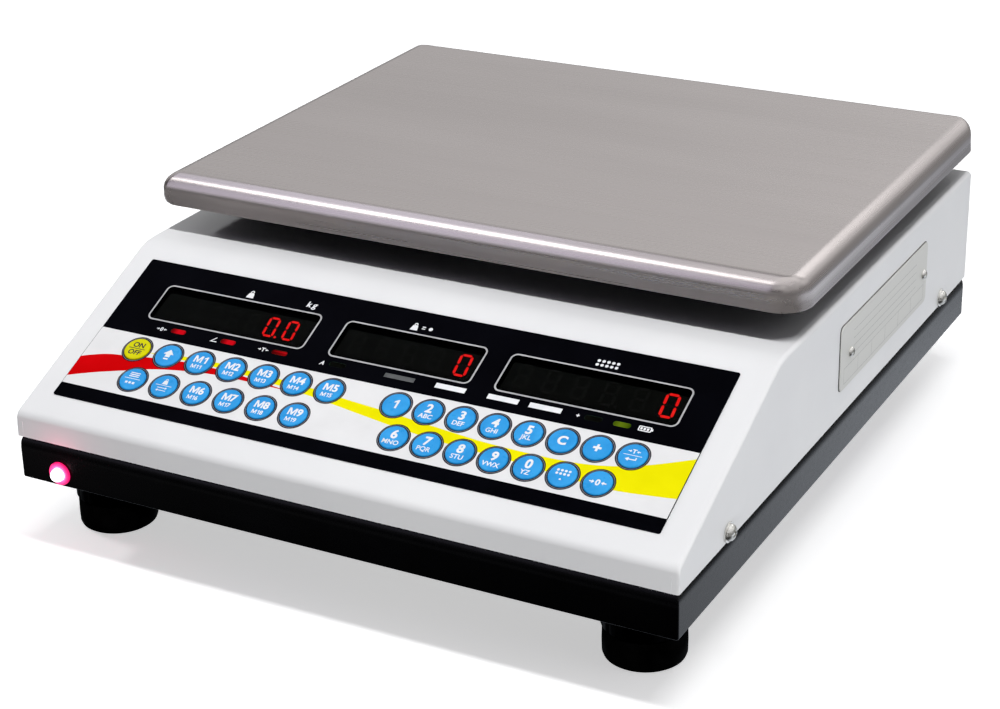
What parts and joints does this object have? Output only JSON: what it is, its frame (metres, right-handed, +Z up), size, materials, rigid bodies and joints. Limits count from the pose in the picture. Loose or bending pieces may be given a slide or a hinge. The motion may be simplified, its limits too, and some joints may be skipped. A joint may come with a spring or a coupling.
{
  "type": "counting scale",
  "caption": "Bench counting scale: sloped sheet-steel case with keypad and LED displays, a lift-off stainless pan on a load cell, and levelling feet.",
  "frame": {"origin": "on the floor under the centre of the bounding box, feet fully screwed in", "axes": "+X to the user's right, +Y from the keypad to the rear, +Z up"},
  "size_m": [0.3368, 0.379, 0.1378],
  "materials": {
    "cover_paint": "gloss powder coat",
    "base_paint": "satin black paint",
    "pan_steel": "brushed stainless",
    "carrier_metal": "dark cast",
    "cell_metal": "machined",
    "steel_parts": "plain steel",
    "zinc": "zinc plated",
    "plate_metal": "satin",
    "panel_film": "printed film",
    "filter": "smoked",
    "led_case": "dark LED module",
    "board": "circuit board",
    "lamp": "translucent, lit",
    "key_blue": "embossed film",
    "key_yellow": "embossed film",
    "battery_case": "moulded",
    "core": "laminated core",
    "inlet_plastic": "moulded",
    "cable": "sheathed",
    "pad_rubber": "matt",
    "knob_plastic": "moulded"
  },
  "bodies": {
    "base": {"base_tray": "base_paint", "top_cover": "cover_paint", "face_panel": "panel_film", "display_filters": "filter", "key_board": "board", "display_board": "board", "led_displays": "led_case", "pilot_lamp": "lamp", "load_cell": "cell_metal", "cell_spacer": "steel_parts", "cell_base_bolts": "zinc", "overload_stop": "zinc", "main_board": "board", "battery": "battery_case", "battery_clamp": "zinc", "transformer": "core", "mains_inlet": "inlet_plastic", "wiring": "cable", "rating_plate": "plate_metal", "case_screws": "zinc"},
    "carrier": {"pan_carrier": "carrier_metal", "carrier_pads": "pad_rubber", "cell_carrier_bolts": "zinc"},
    "pan": {"weighing_pan": "pan_steel"},
    "foot_fl": {"foot_pad_fl": "pad_rubber"},
    "knob_fl": {"foot_knob_fl": "knob_plastic"},
    "foot_fr": {"foot_pad_fr": "pad_rubber"},
    "knob_fr": {"foot_knob_fr": "knob_plastic"},
    "foot_rl": {"foot_pad_rl": "pad_rubber"},
    "knob_rl": {"foot_knob_rl": "knob_plastic"},
    "foot_rr": {"foot_pad_rr": "pad_rubber"},
    "knob_rr": {"foot_knob_rr": "knob_plastic"},
    "key_on_off": {"key_on_off": "key_yellow"},
    "key_shift": {"key_shift": "key_blue"},
    "key_m1": {"key_m1": "key_blue"},
    "key_m2": {"key_m2": "key_blue"},
    "key_m3": {"key_m3": "key_blue"},
    "key_m4": {"key_m4": "key_blue"},
    "key_m5": {"key_m5": "key_blue"},
    "key_1": {"key_1": "key_blue"},
    "key_2": {"key_2": "key_blue"},
    "key_3": {"key_3": "key_blue"},
    "key_4": {"key_4": "key_blue"},
    "key_5": {"key_5": "key_blue"},
    "key_clear": {"key_clear": "key_blue"},
    "key_plus": {"key_plus": "key_blue"},
    "key_tare": {"key_tare": "key_blue"},
    "key_mode": {"key_mode": "key_blue"},
    "key_unit": {"key_unit": "key_blue"},
    "key_m6": {"key_m6": "key_blue"},
    "key_m7": {"key_m7": "key_blue"},
    "key_m8": {"key_m8": "key_blue"},
    "key_m9": {"key_m9": "key_blue"},
    "key_6": {"key_6": "key_blue"},
    "key_7": {"key_7": "key_blue"},
    "key_8": {"key_8": "key_blue"},
    "key_9": {"key_9": "key_blue"},
    "key_0": {"key_0": "key_blue"},
    "key_pieces": {"key_pieces": "key_blue"},
    "key_zero": {"key_zero": "key_blue"}
  },
  "joints": [
    {"name": "pan_lift", "type": "slide", "parent": "carrier", "child": "pan", "axis": [0, 0, 1], "range_m": [0, 0.06]},
    {"name": "weigh_travel", "type": "slide", "parent": "base", "child": "carrier", "axis": [0, 0, -1], "range_m": [0, 0.0005], "stiffness_N_per_m": 150000, "springref_m": -0.00025, "deforming": ["load_cell"]},
    {"name": "foot_fl_turn", "type": "hinge", "parent": "foot_fl", "child": "knob_fl", "pos_m": [-0.136, -0.15255, 0.02], "axis": [0, 0, -1], "range_deg": [0, 2305]},
    {"name": "foot_fl_lift", "type": "slide", "parent": "base", "child": "foot_fl", "axis": [0, 0, -1], "range_m": [0, 0.008]},
    {"name": "foot_fr_turn", "type": "hinge", "parent": "foot_fr", "child": "knob_fr", "pos_m": [0.136, -0.15255, 0.02], "axis": [0, 0, -1], "range_deg": [0, 2305]},
    {"name": "foot_fr_lift", "type": "slide", "parent": "base", "child": "foot_fr", "axis": [0, 0, -1], "range_m": [0, 0.008]},
    {"name": "foot_rl_turn", "type": "hinge", "parent": "foot_rl", "child": "knob_rl", "pos_m": [-0.122, 0.15245, 0.02], "axis": [0, 0, -1], "range_deg": [0, 2305]},
    {"name": "foot_rl_lift", "type": "slide", "parent": "base", "child": "foot_rl", "axis": [0, 0, -1], "range_m": [0, 0.008]},
    {"name": "foot_rr_turn", "type": "hinge", "parent": "foot_rr", "child": "knob_rr", "pos_m": [0.122, 0.15245, 0.02], "axis": [0, 0, -1], "range_deg": [0, 2305]},
    {"name": "foot_rr_lift", "type": "slide", "parent": "base", "child": "foot_rr", "axis": [0, 0, -1], "range_m": [0, 0.008]},
    {"name": "press_on_off", "type": "slide", "parent": "base", "child": "key_on_off", "axis": [0, 0.4078, -0.9131], "range_m": [0, 0.0004], "stiffness_N_per_m": 5000, "springref_m": -0.0002},
    {"name": "press_shift", "type": "slide", "parent": "base", "child": "key_shift", "axis": [0, 0.4078, -0.9131], "range_m": [0, 0.0004], "stiffness_N_per_m": 5000, "springref_m": -0.0002},
    {"name": "press_m1", "type": "slide", "parent": "base", "child": "key_m1", "axis": [0, 0.4078, -0.9131], "range_m": [0, 0.0004], "stiffness_N_per_m": 5000, "springref_m": -0.0002},
    {"name": "press_m2", "type": "slide", "parent": "base", "child": "key_m2", "axis": [0, 0.4078, -0.9131], "range_m": [0, 0.0004], "stiffness_N_per_m": 5000, "springref_m": -0.0002},
    {"name": "press_m3", "type": "slide", "parent": "base", "child": "key_m3", "axis": [0, 0.4078, -0.9131], "range_m": [0, 0.0004], "stiffness_N_per_m": 5000, "springref_m": -0.0002},
    {"name": "press_m4", "type": "slide", "parent": "base", "child": "key_m4", "axis": [0, 0.4078, -0.9131], "range_m": [0, 0.0004], "stiffness_N_per_m": 5000, "springref_m": -0.0002},
    {"name": "press_m5", "type": "slide", "parent": "base", "child": "key_m5", "axis": [0, 0.4078, -0.9131], "range_m": [0, 0.0004], "stiffness_N_per_m": 5000, "springref_m": -0.0002},
    {"name": "press_1", "type": "slide", "parent": "base", "child": "key_1", "axis": [0, 0.4078, -0.9131], "range_m": [0, 0.0004], "stiffness_N_per_m": 5000, "springref_m": -0.0002},
    {"name": "press_2", "type": "slide", "parent": "base", "child": "key_2", "axis": [0, 0.4078, -0.9131], "range_m": [0, 0.0004], "stiffness_N_per_m": 5000, "springref_m": -0.0002},
    {"name": "press_3", "type": "slide", "parent": "base", "child": "key_3", "axis": [0, 0.4078, -0.9131], "range_m": [0, 0.0004], "stiffness_N_per_m": 5000, "springref_m": -0.0002},
    {"name": "press_4", "type": "slide", "parent": "base", "child": "key_4", "axis": [0, 0.4078, -0.9131], "range_m": [0, 0.0004], "stiffness_N_per_m": 5000, "springref_m": -0.0002},
    {"name": "press_5", "type": "slide", "parent": "base", "child": "key_5", "axis": [0, 0.4078, -0.9131], "range_m": [0, 0.0004], "stiffness_N_per_m": 5000, "springref_m": -0.0002},
    {"name": "press_clear", "type": "slide", "parent": "base", "child": "key_clear", "axis": [0, 0.4078, -0.9131], "range_m": [0, 0.0004], "stiffness_N_per_m": 5000, "springref_m": -0.0002},
    {"name": "press_plus", "type": "slide", "parent": "base", "child": "key_plus", "axis": [0, 0.4078, -0.9131], "range_m": [0, 0.0004], "stiffness_N_per_m": 5000, "springref_m": -0.0002},
    {"name": "press_tare", "type": "slide", "parent": "base", "child": "key_tare", "axis": [0, 0.4078, -0.9131], "range_m": [0, 0.0004], "stiffness_N_per_m": 5000, "springref_m": -0.0002},
    {"name": "press_mode", "type": "slide", "parent": "base", "child": "key_mode", "axis": [0, 0.4078, -0.9131], "range_m": [0, 0.0004], "stiffness_N_per_m": 5000, "springref_m": -0.0002},
    {"name": "press_unit", "type": "slide", "parent": "base", "child": "key_unit", "axis": [0, 0.4078, -0.9131], "range_m": [0, 0.0004], "stiffness_N_per_m": 5000, "springref_m": -0.0002},
    {"name": "press_m6", "type": "slide", "parent": "base", "child": "key_m6", "axis": [0, 0.4078, -0.9131], "range_m": [0, 0.0004], "stiffness_N_per_m": 5000, "springref_m": -0.0002},
    {"name": "press_m7", "type": "slide", "parent": "base", "child": "key_m7", "axis": [0, 0.4078, -0.9131], "range_m": [0, 0.0004], "stiffness_N_per_m": 5000, "springref_m": -0.0002},
    {"name": "press_m8", "type": "slide", "parent": "base", "child": "key_m8", "axis": [0, 0.4078, -0.9131], "range_m": [0, 0.0004], "stiffness_N_per_m": 5000, "springref_m": -0.0002},
    {"name": "press_m9", "type": "slide", "parent": "base", "child": "key_m9", "axis": [0, 0.4078, -0.9131], "range_m": [0, 0.0004], "stiffness_N_per_m": 5000, "springref_m": -0.0002},
    {"name": "press_6", "type": "slide", "parent": "base", "child": "key_6", "axis": [0, 0.4078, -0.9131], "range_m": [0, 0.0004], "stiffness_N_per_m": 5000, "springref_m": -0.0002},
    {"name": "press_7", "type": "slide", "parent": "base", "child": "key_7", "axis": [0, 0.4078, -0.9131], "range_m": [0, 0.0004], "stiffness_N_per_m": 5000, "springref_m": -0.0002},
    {"name": "press_8", "type": "slide", "parent": "base", "child": "key_8", "axis": [0, 0.4078, -0.9131], "range_m": [0, 0.0004], "stiffness_N_per_m": 5000, "springref_m": -0.0002},
    {"name": "press_9", "type": "slide", "parent": "base", "child": "key_9", "axis": [0, 0.4078, -0.9131], "range_m": [0, 0.0004], "stiffness_N_per_m": 5000, "springref_m": -0.0002},
    {"name": "press_0", "type": "slide", "parent": "base", "child": "key_0", "axis": [0, 0.4078, -0.9131], "range_m": [0, 0.0004], "stiffness_N_per_m": 5000, "springref_m": -0.0002},
    {"name": "press_pieces", "type": "slide", "parent": "base", "child": "key_pieces", "axis": [0, 0.4078, -0.9131], "range_m": [0, 0.0004], "stiffness_N_per_m": 5000, "springref_m": -0.0002},
    {"name": "press_zero", "type": "slide", "parent": "base", "child": "key_zero", "axis": [0, 0.4078, -0.9131], "range_m": [0, 0.0004], "stiffness_N_per_m": 5000, "springref_m": -0.0002}
  ],
  "couplings": [
    {"joint": "foot_fl_turn", "follows": "foot_fl_lift", "rad_per_m": 5026.5},
    {"joint": "foot_fr_turn", "follows": "foot_fr_lift", "rad_per_m": 5026.5},
    {"joint": "foot_rl_turn", "follows": "foot_rl_lift", "rad_per_m": 5026.5},
    {"joint": "foot_rr_turn", "follows": "foot_rr_lift", "rad_per_m": 5026.5}
  ]
}
